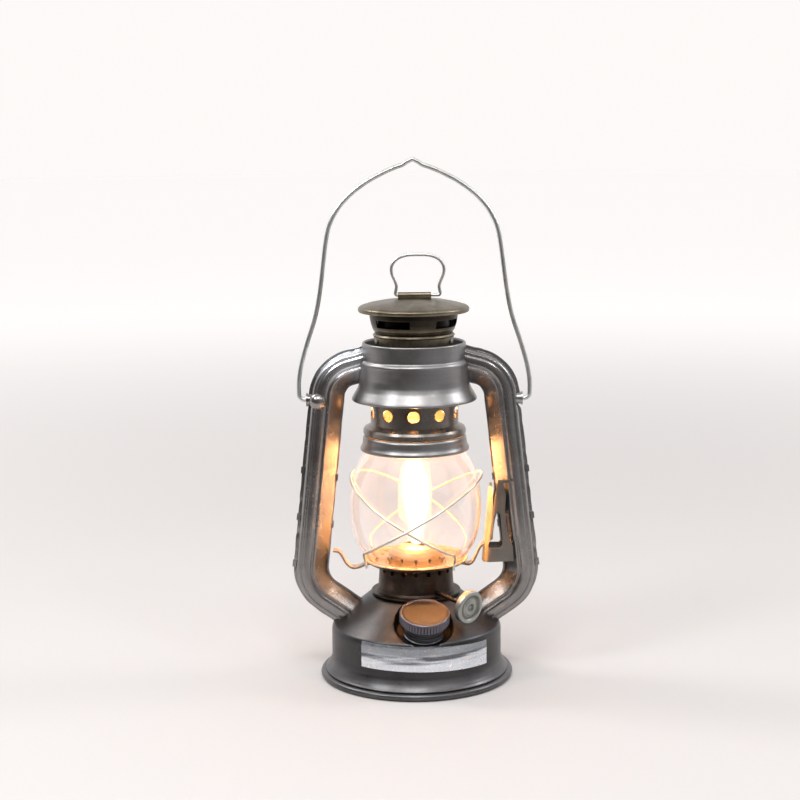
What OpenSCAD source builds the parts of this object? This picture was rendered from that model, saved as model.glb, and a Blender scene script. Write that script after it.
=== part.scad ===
// Small tubular hurricane lantern: oil tank, flat-wick burner, glass globe on a lifting plate,
// two air tubes, hood, sliding chimney, carry ring and wire bail.
// Origin at the centre of the foot, +Z up, front of the lantern towards -Y. Millimetres.

/* [Oil tank] */
// Outer diameter of the foot bead
foot_d = 89.2; // [88:0.2:91]
// Outer diameter of the upright tank wall
wall_d = 78.6; // [77.6:0.2:79.4]
// Height of the tank shoulder above the ground
shoulder_z = 24.4; // [24:0.2:25]
// Height of the burner seat, where the cone ends
seat_z = 38.6; // [38.2:0.2:39]
// Sheet thickness of tank, hood and chimney
sheet = 0.6; // [0.5:0.1:0.7]

/* [Filler] */
// Outer diameter of the knurled filler cap
filler_cap_d = 22.6; // [22:0.2:23]
// Height of the filler cap
filler_cap_h = 4.8; // [4.4:0.2:5.2]
// Lean of the filler neck away from the vertical
filler_lean = 19; // [17:1:21]
// Pitch of the neck thread
thread_pitch = 2.2; // [1.8:0.1:2.4]

/* [Burner and wick] */
// Outer diameter of the burner body
burner_d = 34.4; // [33.6:0.2:35]
// Diameter of the wick knob
knob_d = 15.4; // [14.6:0.2:16]
// Direction of the wick shaft, measured from +X towards the front
shaft_turn = 46; // [42:1:48]
// Downward slope of the wick shaft
shaft_slope = 8; // [7:0.5:9]

/* [Globe] */
// Largest outer diameter of the glass globe
globe_d = 61.2; // [60.4:0.2:61.6]
// Glass thickness
glass = 1.6; // [1.4:0.1:1.8]
// Diameter of the plate that the globe stands on
plate_d = 48.2; // [47.8:0.2:48.6]
// Guard wire diameter
guard_d = 1.2; // [1.1:0.1:1.3]

/* [Air tubes] */
// Distance of the tube centre line from the lantern axis at mid height
tube_x = 44.9; // [44.6:0.1:45.2]
// Outward lean of the tubes towards the foot
tube_lean = 6.1; // [5.9:0.1:6.3]
// Half depth of a tube, from the seam to the front of its beads
tube_half = 5.5; // [5.2:0.1:5.8]
// Tube sheet thickness
tube_t = 0.5; // [0.4:0.1:0.6]

/* [Chimney] */
// Diameter of the domed cap
cap_d = 50.7; // [50:0.1:51.2]
// Diameter of the chimney sleeve
sleeve_d = 36.4; // [36.2:0.1:36.6]
// Number of draught holes in the collar
draught_holes = 10; // [8:1:12]
// Diameter of one draught hole
draught_d = 5.4; // [4.8:0.2:5.8]

/* [Bail and ring] */
// Bail wire diameter
bail_d = 2.1; // [2:0.1:2.3]
// Carry ring wire diameter
ring_d = 1.5; // [1.4:0.1:1.7]
// Height of the bail pivots
pivot_z = 129.5; // [129:0.5:130]

/* [Hidden] */
$fn = 64;

foot_r = foot_d / 2;
wall_r = wall_d / 2;
seat_r = 21;
cone_run = wall_r - 0.9 - seat_r;
cone_rise = seat_z - shoulder_z;
cone_slope = cone_rise / cone_run;

filler_turn = 6.7;
filler_r = 30;
filler_z = seat_z - (filler_r - seat_r) * cone_slope;
neck_r = 9.25;
neck_bore_r = 8.25;
neck_wall = 0.7;
neck_h = 9.2;
seat_depth = 4.2;
well_r = 12.6;
well_shift = 1.6;
gasket_t = 1.2;

burner_r = burner_d / 2;
plate_z = 53.6;
wick_w = 7.6;
wick_t = 1.5;
shaft_r = 1;
shaft_offset = -3.3;
shaft_z = 44.6;
knob_out = 37.6;
spur_r = 2.4;
knob_r = knob_d / 2;

globe_top_z = 108.6;
globe_base_z = 55.4;

// Tube centre line: hood end, two bends and tank end, in the XZ plane
hood_end = [24.5, 145.2];
hood_dir = -15;
side_dir = tube_lean - 90;
tank_end = [31.05, 30.5];
tank_dir = -145;
mid_z = 82;
upper_bend_r = 14;
lower_bend_r = 16.4;
tube_edge = 7;
outer_flange = 1.7;
inner_flange = 0.85;

hood_r = 24.85;
hood_neck_r = 23.65;
hood_step_z = 147.4;
hood_top_z = 156.1;
skirt_r = 28.7;
skirt_z = 129.5;
guide_z = 152.4;

sleeve_r = sleeve_d / 2;
collar_r = 20.05;
collar_top_z = 130.6;
cap_r = cap_d / 2;
cap_top_z = 175.7;
ring_z = 177.1;
ring_shift = 2;

// ---- helpers ----

function arc(c, r, from, to, n = 6) =
    [for (i = [0:n]) let (a = from + (to - from) * i / n) c + r * [cos(a), sin(a)]];

function side_normal(a, b) = let (d = b - a) [-d[1], d[0]] / norm(d);

function moved(path, t) =
    [for (i = [0:len(path) - 1])
        let (n1 = side_normal(path[max(i - 1, 0)], path[max(i, 1)]),
             last = len(path) - 1,
             n2 = side_normal(path[min(i, last - 1)], path[min(i + 1, last)]))
        path[i] + t * (n1 + n2) / (1 + n1 * n2)];

function reversed(list) = [for (i = [len(list) - 1:-1:0]) list[i]];

function ribbon(path, t) = concat(path, [for (q = reversed(moved(path, t))) [max(q[0], 0), q[1]]]);

// Sheet metal of revolution: a path of [radius, height], thickened to the left of its direction
module spun(path, t = sheet) rotate_extrude($fn = 96) polygon(ribbon(path, t));

// Points of a smooth curve through hand-set points
function catmull(a, b, c, d, s) =
    0.5 * ((2 * b) + (c - a) * s + (2 * a - 5 * b + 4 * c - d) * s * s
        + (3 * b - a - 3 * c + d) * s * s * s);

function smooth(points, m) =
    let (last = len(points) - 1)
    concat([for (i = [0:last - 1], j = [0:m - 1])
            catmull(points[max(i - 1, 0)], points[i], points[i + 1], points[min(i + 2, last)], j / m)],
        [points[last]]);

function unit(v) = v / norm(v);

// Round wire swept along 3D points; side is a direction that never lines up with the wire
function ring_points(p, i, r, side, n) =
    let (last = len(p) - 1,
         t = unit(p[min(i + 1, last)] - p[max(i - 1, 0)]),
         b = unit(cross(t, side)),
         c = cross(b, t))
    [for (k = [0:n - 1]) let (a = 360 * k / n) p[i] + r * (cos(a) * b + sin(a) * c)];

module wire(p, r, sides, n = 8) {
    last = len(p) - 1;
    polyhedron(
        points = [for (i = [0:last], q = ring_points(p, i, r, sides[i], n)) q],
        faces = concat(
            [[for (k = [n - 1:-1:0]) k]],
            [for (i = [0:last - 1], k = [0:n - 1]) let (k2 = (k + 1) % n)
                [i * n + k, i * n + k2, (i + 1) * n + k2, (i + 1) * n + k]],
            [[for (k = [0:n - 1]) last * n + k]]));
}

module flat_wire(p, r) wire(p, r, [for (q = p) [0, 1, 0]]);

// A path in the XZ plane, given for x >= 0 and ending at x = 0, with its mirror image joined on
function mirrored_path(half) =
    concat([for (q = half) [q[0], 0, q[1]]],
        [for (q = reversed(half)) if (q[0] > 0) [-q[0], 0, q[1]]]);

module both_sides() {
    children();
    mirror([1, 0, 0]) children();
}

// ---- oil tank ----

tank_path = concat(
    [[foot_r - 2.6, 3.4], [foot_r - 2, 3.6], [foot_r - 3.4, 4.9], [foot_r - 4.5, 6.6], [wall_r, 9.2]],
    arc([wall_r - 1.6, shoulder_z - 1.5], 1.6, 0, 45, 3),
    [[seat_r, seat_z], [13.4, seat_z]]);

module filler_frame() {
    rotate([0, 0, filler_turn])
        translate([0, -filler_r, filler_z])
            rotate([filler_lean, 0, 0])
                translate([0, 0, -seat_depth])
                    children();
}

// Round well that the filler neck stands in, a little uphill of the neck so that the cap clears it
module filler_well(r, from) {
    filler_frame()
        translate([0, well_shift, from])
            cylinder(h = 20, r = r);
}

module tank_shell() {
    color("#4b4a4c")
        difference() {
            spun(tank_path);
            filler_well(well_r + sheet, -sheet);
        }
}

module tank_bottom() {
    color("#4b4a4c")
        rotate_extrude($fn = 96)
            polygon(concat(
                [[0, 1.4], [foot_r - 5, 1.4], [foot_r - 4, 0], [foot_r - 1.3, 0]],
                arc([foot_r - 1.6, 1.7], 1.6, -45, 80, 5),
                [[foot_r - 2.6, 3.4], [foot_r - 3.2, 2.2], [0, 2.2]]));
}

module label_plate() {
    color("#b9bcc0")
        rotate([0, 0, -128])
            rotate_extrude(angle = 91, $fn = 96)
                translate([wall_r, 12.2])
                    square([0.2, 10.6]);
}

module filler_seat() {
    color("#353436")
        difference() {
            intersection() {
                tank_outside();
                difference() {
                    filler_well(well_r + sheet, -sheet);
                    filler_well(well_r, 0);
                }
            }
            filler_frame() translate([0, 0, -2]) cylinder(h = 4, r = neck_bore_r + neck_wall);
        }
}

module filler_neck() {
    crests = 3;
    color("#3b3a3c")
        filler_frame()
            rotate_extrude()
                polygon(concat(
                    [[neck_bore_r, -3], [neck_bore_r + neck_wall - 0.01, -3],
                        [neck_bore_r + neck_wall - 0.01, 0],
                        [neck_r - 0.2, 0.01]],
                    [for (i = [0:crests - 1], q = [[-0.45, 0.5], [0, 1.1], [0, 1.5], [-0.45, 2.1]])
                        [neck_r + q[0], q[1] + i * thread_pitch]],
                    [[neck_r - 0.45, neck_h], [neck_bore_r, neck_h]]));
}

module filler_cap() {
    ridges = 48;
    wall = filler_cap_d / 2 - neck_r - 0.1;
    color("#a89a98")
        filler_frame()
            translate([0, 0, neck_h + gasket_t])
                difference() {
                    rotate_extrude($fn = 96)
                        polygon([[0, 0], [neck_r + 0.1, 0], [neck_r + 0.1, 1 - filler_cap_h],
                            [filler_cap_d / 2 - 0.3, 1 - filler_cap_h],
                            [filler_cap_d / 2, 1.3 - filler_cap_h],
                            [filler_cap_d / 2, 0.4], [filler_cap_d / 2 - 0.6, 1],
                            [neck_r + wall - 1.6, 1], [neck_r + wall - 2, 0.6], [0, 0.45]]);
                    for (i = [0:ridges - 1])
                        rotate([0, 0, i * 360 / ridges])
                            translate([filler_cap_d / 2, 0, -filler_cap_h / 2 + 0.4])
                                cube([0.6, 0.6, filler_cap_h - 1.4], center = true);
                }
}

module cap_gasket() {
    color("#2e2a28")
        filler_frame()
            translate([0, 0, neck_h + 0.05])
                cylinder(h = gasket_t - 0.1, r = neck_r - 0.3);
}

// ---- burner and wick ----

module burner_collar() {
    color("#4a4038")
        spun([[19.2, seat_z], [19.2, seat_z + 0.9], [12.8, seat_z + 0.9], [12.8, seat_z - 3]]);
}

burner_path = concat(
    [[20.6, seat_z + 1.6], [burner_r + 0.8, seat_z + 1.75], [burner_r + 0.3, seat_z + 2.8],
        [burner_r + 0.1, seat_z + 6], [burner_r - 0.1, seat_z + 9]],
    arc([burner_r - 2.9, plate_z - 3.2], 2.6, 10, 90, 4),
    [[13.2, plate_z - 0.6]]);

module burner_body() {
    air_slots = 18;
    slot_r = 1.1;
    color("#4d3f35")
        difference() {
            spun(burner_path);
            for (i = [0:air_slots - 1])
                rotate([0, 0, (i + 0.5) * 360 / air_slots])
                    translate([burner_r - 3, 0, plate_z - 2.9])
                        rotate([0, 90, 0])
                            cylinder(h = 6, r = slot_r);
            shaft_frame() rotate([0, 90, 0]) cylinder(h = 30, r = shaft_r + 0.05);
        }
}

module burner_cone() {
    slot = [11, 4.4, 12];
    top_z = plate_z + 9.6;
    color("#6b5a44")
        difference() {
            spun(concat([[13.1, plate_z - 0.6], [13.1, plate_z + 0.4]],
                arc([5.6, plate_z + 0.6], 7.5, 0, 60, 4),
                [[6, top_z - 1.6], [3, top_z - 1.3], [0, top_z - 1.3]]));
            rotate([0, 0, -shaft_turn])
                translate([0, 0, top_z]) cube(slot, center = true);
            for (i = [0:11])
                rotate([0, 0, i * 30])
                    translate([9, 0, plate_z + 2.6]) rotate([0, 90, 0]) cylinder(h = 8, r = 0.8);
        }
}

module flat_tube(w, t, wall, z0, z1) {
    difference() {
        translate([-w / 2, -t / 2, z0]) cube([w, t, z1 - z0]);
        translate([wall - w / 2, wall - t / 2, z0 - 1]) cube([w - 2 * wall, t - 2 * wall, z1 - z0 + 2]);
    }
}

module wick_tube() {
    tube_w = wick_w + 1.6;
    tube_thick = wick_t + 1.5;
    color("#8c7a58")
        rotate([0, 0, -shaft_turn]) {
            difference() {
                flat_tube(tube_w, tube_thick, 0.45, seat_z - 6, plate_z + 6.6);
                for (x = [-2, 2])
                    translate([x, -2, shaft_z + 0.2]) cube([1.6, 3, 6.4], center = true);
            }
            difference() {
                translate([0, 0, seat_z - 3.4]) cylinder(h = 0.8, r = 12.75);
                translate([-tube_w / 2 - 0.01, -tube_thick / 2 - 0.01, seat_z - 5])
                    cube([tube_w + 0.02, tube_thick + 0.02, 4]);
            }
        }
}

module wick() {
    color("#d9cfb8")
        rotate([0, 0, -shaft_turn])
            translate([-wick_w / 2, -wick_t / 2, 11]) cube([wick_w, wick_t, plate_z + 7.6 - 11]);
}

// Wick shaft frame: +X along the shaft, outwards and down
module shaft_frame() {
    rotate([0, 0, -shaft_turn])
        translate([0, shaft_offset, shaft_z])
            rotate([0, shaft_slope, 0])
                children();
}

module wick_shaft() {
    color("#9a9c9e")
        shaft_frame()
            translate([-5, 0, 0]) rotate([0, 90, 0]) cylinder(h = knob_out + 5, r = shaft_r);
}

module spur_wheels() {
    teeth = 10;
    color("#a08a58")
        shaft_frame()
            for (x = [-2, 2])
                translate([x - 0.4, 0, 0]) rotate([0, 90, 0])
                    difference() {
                        linear_extrude(0.8)
                            polygon([for (i = [0:2 * teeth - 1])
                                let (a = i * 180 / teeth, r = i % 2 == 0 ? spur_r : spur_r - 0.7)
                                r * [cos(a), sin(a)]]);
                        translate([0, 0, -1]) cylinder(h = 3, r = shaft_r);
                    }
}

module wick_knob() {
    color("#c9cbcd")
        shaft_frame()
            translate([knob_out, 0, 0])
                rotate([0, 90, 0])
                    difference() {
                        rotate_extrude()
                            polygon(concat(
                                [[0, -1.4], [2.2, -1.4], [2.4, 0], [knob_r - 1.5, 0],
                                    [knob_r - 1.1, -1.6], [knob_r - 0.4, -1.7]],
                                arc([knob_r - 0.9, 0.9], 0.9, 0, 90, 3),
                                [[knob_r - 1.9, 1.8], [knob_r - 2.6, 1.1], [3.6, 1.1], [2.8, 1.7],
                                    [1.8, 1.7], [1, 1], [0, 0.9]]));
                        translate([0, 0, -2]) cylinder(h = 2, r = shaft_r);
                    }
}

// ---- globe carriage ----

module globe_plate() {
    holes = 24;
    color("#9a6a45")
        difference() {
            spun([[plate_d / 2, plate_z + 1.5], [plate_d / 2 - 0.6, plate_z + 0.9],
                [plate_d / 2 - 1.8, plate_z], [13.6, plate_z], [13.6, plate_z + 1]], -sheet);
            for (i = [0:holes - 1])
                rotate([0, 0, i * 360 / holes])
                    translate([18.2 + 1.6 * (i % 2), 0, plate_z - 1]) cylinder(h = 3, r = 0.9);
        }
}

module plate_arms() {
    arm_t = 0.9;
    arm_w = 5;
    left = smooth([[-18.6, plate_z - 0.9], [-23, plate_z - 1.2], [-26.5, 51], [-29.6, 50.9],
        [-32.2, 53], [-34.4, 56.9], [-36, 58.5], [-38.2, 58.9]], 3);
    right = smooth([[18.6, plate_z - 0.9], [22, plate_z - 1.1], [24.4, 52.1], [26.4, 53.3],
        [28.2, 56.8], [29.8, 60.2], [31.4, 61.5], [34, 61.7]], 3);
    color("#8a7a6c")
        for (path = [left, right])
            translate([0, arm_w / 2, 0]) rotate([90, 0, 0])
                linear_extrude(arm_w) polygon(ribbon_free(path, arm_t / 2));
}

// Strip of even thickness around a centre line that may cross the axis
function ribbon_free(path, h) =
    let (last = len(path) - 1,
         n = [for (i = [0:last]) side_normal(path[max(i - 1, 0)], path[min(i + 1, last)])])
    concat([for (i = [0:last]) path[i] + h * n[i]], [for (i = [last:-1:0]) path[i] - h * n[i]]);

globe_outline = smooth([[22.4, globe_base_z], [23.4, 57], [25.8, 60.2], [28.3, 65], [29.9, 71.5],
    [globe_d / 2, 80], [globe_d / 2 - 0.6, 87.5], [28.6, 94.5], [26, 100.6], [23.4, 105],
    [22.6, globe_top_z]], 3);

module globe() {
    color([0.85, 0.87, 0.88, 0.35]) spun(globe_outline, glass);
}

function globe_radius(z) = lookup(z, [for (q = globe_outline) [q[1], q[0]]]);

// A guard rises on one side of the globe and hooks under the plate rim on the other
function guard_path(high, gap) =
    let (reach = 144, step = 6,
         mid = 76, rise = 19,
         hook = [[gap + 0.2, 57.2], [gap - 0.2, plate_z + 1.6], [gap - 0.5, plate_z - 0.3]],
         foot = function (u) [for (h = hook)
             let (r = plate_d / 2 + h[0]) [r * cos(high + u), r * sin(high + u), h[1]]],
         span = [for (u = [-reach:step:reach])
             let (z = mid + rise * cos(u), r = globe_radius(z) + gap)
             [r * cos(high + u), r * sin(high + u), z]])
    smooth(concat(reversed(foot(-reach - 4)), span, foot(reach + 4)), 1);

module guard(high, gap) {
    p = guard_path(high, gap);
    color("#8f8a84") wire(p, guard_d / 2, [for (q = p) unit([q[0], q[1], 0.01])]);
}

module guard_left() guard(166, 1);
module guard_right() guard(-2, 2.4);

// Sheet slider that rides on the inner bead of the right tube and carries the plate's right arm
module lifter_cheek() {
    difference() {
        polygon([[33.4, 89.3], [35.4, 89.3], [35.6, 80], [37.8, 92.6], [43.6, 92.4], [43.6, 91.4], [40.3, 91],
            [41.5, 85.6], [41, 78], [41.7, 70.5], [43, 64.8], [44.6, 61.8], [45, 54.6], [30, 54]]);
        polygon([[37.7, 78.2], [38.9, 76.3], [39.3, 70.5], [40, 64.6], [39.8, 62], [38.7, 60.7], [34, 60.7],
            [33.2, 61.6], [33.9, 63.8], [35.4, 65], [35.7, 69.3], [36.5, 74.6]]);
    }
}

// Channel folded round the bead, open on its far side
module lifter_channel(front, sheet_t) {
    fold = 4.4;
    reach = 20;
    polygon(concat(
        [[reach, -front]],
        arc([fold, fold - front], fold, 270, 180),
        arc([fold, front - fold], fold, 180, 90),
        [[reach, front], [reach, front - sheet_t]],
        arc([fold, front - fold], fold - sheet_t, 90, 180),
        arc([fold, fold - front], fold - sheet_t, 180, 270),
        [[reach, sheet_t - front]]));
}

module globe_lifter() {
    sheet_t = 0.8;
    front = tube_half + 0.4 + sheet_t;
    color("#8d7350")
        difference() {
            intersection() {
                translate([0, front, 0]) rotate([90, 0, 0]) linear_extrude(2 * front) lifter_cheek();
                translate([30.45, 0, 52]) rotate([0, 5.5, 0]) linear_extrude(42) lifter_channel(front, sheet_t);
            }
            translate([31.5, 0, 61.2]) cube([3, 6.4, 3.4], center = true);
        }
}

// ---- air tubes ----

function heading(a) = [cos(a), sin(a)];

// Where two lines cross, each given by a point and a direction angle
function crossing(p, a, q, b) =
    let (u = heading(a), v = heading(b), w = q - p)
    p + u * (w[0] * v[1] - w[1] * v[0]) / (u[0] * v[1] - u[1] * v[0]);

side_point = [tube_x, mid_z];
upper_corner = crossing(hood_end, hood_dir, side_point, side_dir);
lower_corner = crossing(tank_end, tank_dir, side_point, side_dir);
upper_cut = upper_bend_r * tan((hood_dir - side_dir) / 2);
lower_cut = lower_bend_r * tan((side_dir - tank_dir) / 2);
upper_start = upper_corner - upper_cut * heading(hood_dir);
upper_end = upper_corner + upper_cut * heading(side_dir);
lower_start = lower_corner - lower_cut * heading(side_dir);
lower_end = lower_corner + lower_cut * heading(tank_dir);

// Outside of half a tube, from the inner seam flange to the outer one: a slanted face towards the globe,
// a crease, a flat bead, a second crease and a narrow outer rib
tube_profile = [[-tube_edge, tube_t], [-tube_edge, 0.9], [-6.5, 1.6], [-4, tube_half - 2.05],
    [-1.3, tube_half - 0.15], [-0.75, tube_half - 0.1], [-0.25, tube_half - 0.65],
    [0.15, tube_half - 0.7], [0.9, tube_half - 0.15], [2.3, tube_half], [3.7, tube_half - 0.15],
    [4.5, tube_half - 0.7], [4.9, tube_half - 0.75], [5.5, tube_half - 0.6], [6.2, tube_half - 1],
    [6.8, tube_half - 2], [tube_edge, tube_half - 3.2], [tube_edge, tube_t]];

// Half of the tube section, sheet tube_t thick. An inset makes it thinner from both faces.
module half_section(inset = 0) {
    path = concat([[-tube_edge - inner_flange + inset, tube_t]], tube_profile,
        [[tube_edge + outer_flange - inset, tube_t]]);
    polygon(concat(moved(path, -inset), reversed(moved(path, inset - tube_t))));
}

module straight(from, a, length) {
    multmatrix([[-sin(a), 0, cos(a), from[0]], [0, -1, 0, 0], [cos(a), 0, sin(a), from[1]], [0, 0, 0, 1]])
        linear_extrude(length) half_section();
}

// The bend's ends lap into the straights inside their sheet
module bend(start, a, to, r) {
    lap = 1;
    inset = 0.015;
    centre = start - r * heading(a + 90);
    translate([centre[0], 0, centre[1]])
        rotate([90, 0, 0])
            rotate([0, 0, to + 90 - lap])
                rotate_extrude(angle = a - to + 2 * lap, $fn = 96)
                    translate([r, 0]) half_section(inset);
}

module hood_outside() {
    rotate_extrude($fn = 96)
        polygon([[0, 120], [skirt_r + 1.4, skirt_z - 1], [27.1, 134], [hood_r + 0.4, 138], [hood_r, 139.9],
            [hood_r, hood_step_z - 0.4], [hood_neck_r, hood_step_z + 0.6], [hood_neck_r, 160], [0, 160]]);
}

module tank_outside() {
    rotate_extrude($fn = 96)
        polygon([[0, 0], [wall_r, 0], [wall_r, shoulder_z - 1.5], [wall_r - 0.47, shoulder_z - 0.37],
            [seat_r, seat_z], [0, seat_z]]);
}

// Boss pressed out of the front of a tube half, round the bail's end
module ear_boss() {
    intersection() {
        translate([43.7, -3, pivot_z - 0.2]) sphere(r = 4.2);
        translate([35, -12, pivot_z - 8]) cube([16, 10, 16]);
    }
}

module half_tube(boss = false) {
    into = 4;
    pin_hole_r = 2.6;
    difference() {
        union() {
            straight(hood_end - into * heading(hood_dir), hood_dir, norm(upper_start - hood_end) + into);
            bend(upper_start, hood_dir, side_dir, upper_bend_r);
            straight(upper_end, side_dir, norm(lower_start - upper_end));
            bend(lower_start, side_dir, tank_dir, lower_bend_r);
            straight(lower_end, tank_dir, norm(tank_end - lower_end) + into);
        }
        hood_outside();
        tank_outside();
        translate([40, 0, pivot_z]) rotate([0, 90, 0]) cylinder(h = 20, r = pin_hole_r);
        if (boss) ear_boss();
    }
}

module left_tube_front() color("#5a595c") mirror([1, 0, 0]) half_tube(true);
module left_tube_rear() color("#5a595c") mirror([1, 0, 0]) mirror([0, 1, 0]) half_tube();
module right_tube_front() color("#5a595c") half_tube();
module right_tube_rear() color("#5a595c") mirror([0, 1, 0]) half_tube();

module bail_ear() {
    translate([0, 0, pivot_z]) rotate([0, 90, 0])
        difference() {
            union() {
                translate([0, 0, 44.4]) cylinder(h = 4.4, r = 2.6);
                translate([0, 0, 48.6]) cylinder(h = 0.8, r = 3.1);
            }
            translate([0, 0, 40]) cylinder(h = 20, r = bail_d / 2 + 0.06);
        }
}

module left_bail_ear() color("#8b8a8c") mirror([1, 0, 0]) {
    bail_ear();
    ear_boss();
}
module right_bail_ear() color("#8b8a8c") bail_ear();

// Seam crimps: small folded tabs over the outer and inner seam flanges
module tube_crimps() {
    color("#77767a")
        both_sides()
            for (at = [[96, 1], [74, 1], [52, 1], [94, -1], [72, -1]])
                let (along = (at[0] - mid_z) / sin(side_dir),
                     p = side_point + along * heading(side_dir),
                     u = at[1] > 0 ? tube_edge + 0.35 : -tube_edge - inner_flange - 0.35,
                     w = at[1] > 0 ? outer_flange : inner_flange)
                translate([p[0], 0, p[1]])
                    rotate([0, -side_dir - 90, 0])
                        difference() {
                            translate([u, -tube_t - 0.35, -1.5]) cube([w, 2 * tube_t + 0.7, 3]);
                            translate([u - 1, -tube_t, -2])
                                cube([at[1] > 0 ? w + 0.65 : w + 1.7, 2 * tube_t, 4]);
                        }
}

// ---- hood ----

module hood() {
    path = concat(
        [[skirt_r - 0.9, skirt_z + 0.1], [skirt_r - 0.3, skirt_z], [skirt_r, skirt_z + 0.5],
            [skirt_r - 0.3, skirt_z + 1.4], [27.2, 133.2], [25.7, 136.6], [hood_r, 139.8],
            [hood_r, hood_step_z - 1.6], [hood_r + 0.15, hood_step_z - 0.9],
            [hood_r - 0.2, hood_step_z - 0.2], [hood_neck_r, hood_step_z + 0.6],
            [hood_neck_r, hood_top_z - 1]],
        arc([hood_neck_r - 0.7, hood_top_z - 0.8], 0.7, 0, 150, 4),
        [[hood_neck_r - 1.5, guide_z + 0.7]]);
    color("#5c5b5e")
        spun(path, 0.5);
}

module hood_top() {
    color("#3f3d3c")
        spun([[hood_neck_r - 1.6, guide_z + 0.6], [sleeve_r + 1, guide_z + 0.6],
            [sleeve_r + 0.3, guide_z], [sleeve_r + 0.3, guide_z - 2.6]], sheet);
}

// ---- sliding chimney ----

// The sleeve ends in an upright wind baffle behind the basket's windows
module chimney_sleeve() {
    baffle_r = 16.8;
    baffle_top_z = 169.2;
    color("#5f4c3a")
        spun([[sleeve_r, collar_top_z + 0.2], [sleeve_r, 158.6], [sleeve_r + 0.5, 159.2],
            [sleeve_r, 159.9], [17.6, 160.3], [baffle_r, 160.36], [baffle_r, baffle_top_z]], sheet);
}

module draught_collar() {
    color("#57564f")
        difference() {
            spun([[23, 113.6], [23.5, 114.2], [23.5, 115.8], [22.9, 116.9], [21.3, 117.7],
                [collar_r, 118.6], [collar_r, collar_top_z - 0.8], [collar_r - 0.8, collar_top_z],
                [sleeve_r - 0.6, collar_top_z]], sheet);
            for (i = [0:draught_holes - 1])
                rotate([0, 0, -91.3 + i * 360 / draught_holes])
                    translate([collar_r - 2, 0, 124.1]) rotate([0, 90, 0]) cylinder(h = 4, d = draught_d);
        }
}

module globe_cup() {
    color("#646366")
        spun([[24.3, 106.2], [25, 106.6], [24.9, 107.6], [24, 109.4], [23.75, 111.4], [23.6, 112.6],
            [23, 113.4], [20.6, 113.4], [20.6, 111.8]], sheet);
}

module vent_basket() {
    windows = 4;
    color("#57452f")
        difference() {
            spun([[17.6, 160.4], [18.6, 161.9], [19.5, 164.6], [20, 167.4], [20.2, 172.2]], sheet);
            for (i = [0:windows - 1])
                rotate([0, 0, -122 - 27 + i * 360 / windows])
                    rotate_extrude(angle = 54, $fn = 96)
                        translate([16, 163.4]) square([8, 3.5]);
        }
}

module chimney_cap() {
    color("#66563f")
        spun([[0, cap_top_z], [8, cap_top_z - 0.3], [15, cap_top_z - 1.1], [20.5, cap_top_z - 2.2],
            [cap_r - 1, cap_top_z - 3.3], [cap_r - 0.1, cap_top_z - 4], [cap_r, cap_top_z - 5],
            [cap_r - 0.3, cap_top_z - 6], [cap_r - 1.1, cap_top_z - 6.1]], -sheet);
}

module sleeve_rivets() {
    color("#a9a6a0")
        for (a = [-155, -25, 90])
            rotate([0, 0, a])
                translate([sleeve_r, 0, 156.9]) rotate([0, 90, 0]) cylinder(h = 0.7, r = 1.1);
}

module ring_clip() {
    bore = ring_d / 2 + 0.06;
    length = 15;
    color("#6d5c44")
        translate([0.5, 0, 0])
            difference() {
                union() {
                    translate([-length / 2, 0, ring_z]) rotate([0, 90, 0]) cylinder(h = length, r = bore + 0.55);
                    translate([-length / 2, -3.2, cap_top_z]) cube([length, 6.4, 0.5]);
                }
                translate([-length, 0, ring_z]) rotate([0, 90, 0]) cylinder(h = 2 * length, r = bore);
            }
}

module carry_ring() {
    bar = 9.1;
    corner = 1.1;
    bow = smooth([[bar + corner, ring_z + corner], [9.7, ring_z + 3.4], [9.8, ring_z + 4.8],
        [10.6, ring_z + 7], [11.6, ring_z + 9.4], [11.9, ring_z + 12], [10.9, ring_z + 14.8],
        [8.6, ring_z + 16.9], [4.8, ring_z + 18.1], [0, ring_z + 18.4]], 2);
    half = concat([[bar - 0.8, ring_z]], arc([bar, ring_z + corner], corner, -90, -15, 4), bow);
    color("#a8a29a")
        translate([ring_shift, 0, 0]) {
            flat_wire(mirrored_path(half), ring_d / 2);
            translate([0.8 - bar, 0, ring_z]) rotate([0, 90, 0])
                cylinder(h = 2 * bar - 1.6, r = ring_d / 2);
        }
}

// ---- bail ----

module bail() {
    pin_in = 45.2;
    pin_out = 49.6;
    corner = 2.6;
    bow = smooth([[pin_out + 0.5 + corner, pivot_z + corner + 0.8], [52.5, 139], [51, 147], [48, 157.2],
        [45.4, 165], [43.4, 173], [41.9, 182], [40.6, 192], [39.4, 201], [37.9, 208], [35.2, 214],
        [31.4, 219.3], [26.6, 223.9], [20.6, 228.2], [13.6, 232], [7.6, 234.6], [4.6, 235.6],
        [2.4, 237], [0, 238.2]], 2);
    half = concat([[pin_out, pivot_z]],
        arc([pin_out + 0.5, pivot_z + corner], corner, -90, -15, 4), bow);
    color("#b4b6b5") {
        flat_wire(mirrored_path(half), bail_d / 2);
        both_sides()
            translate([pin_in, 0, pivot_z]) rotate([0, 90, 0])
                cylinder(h = pin_out - pin_in, r = bail_d / 2);
    }
}

tank_shell();
tank_bottom();
label_plate();
filler_seat();
filler_neck();
filler_cap();
cap_gasket();
burner_collar();
burner_body();
burner_cone();
wick_tube();
wick();
wick_shaft();
spur_wheels();
wick_knob();
globe_plate();
plate_arms();
globe();
guard_left();
guard_right();
globe_lifter();
left_tube_front();
left_tube_rear();
right_tube_front();
right_tube_rear();
left_bail_ear();
right_bail_ear();
tube_crimps();
hood();
hood_top();
chimney_sleeve();
draught_collar();
globe_cup();
vent_basket();
chimney_cap();
sleeve_rivets();
ring_clip();
carry_ring();
bail();
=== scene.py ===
import math

import bpy
import bmesh
from mathutils import Matrix, Vector, noise


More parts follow.
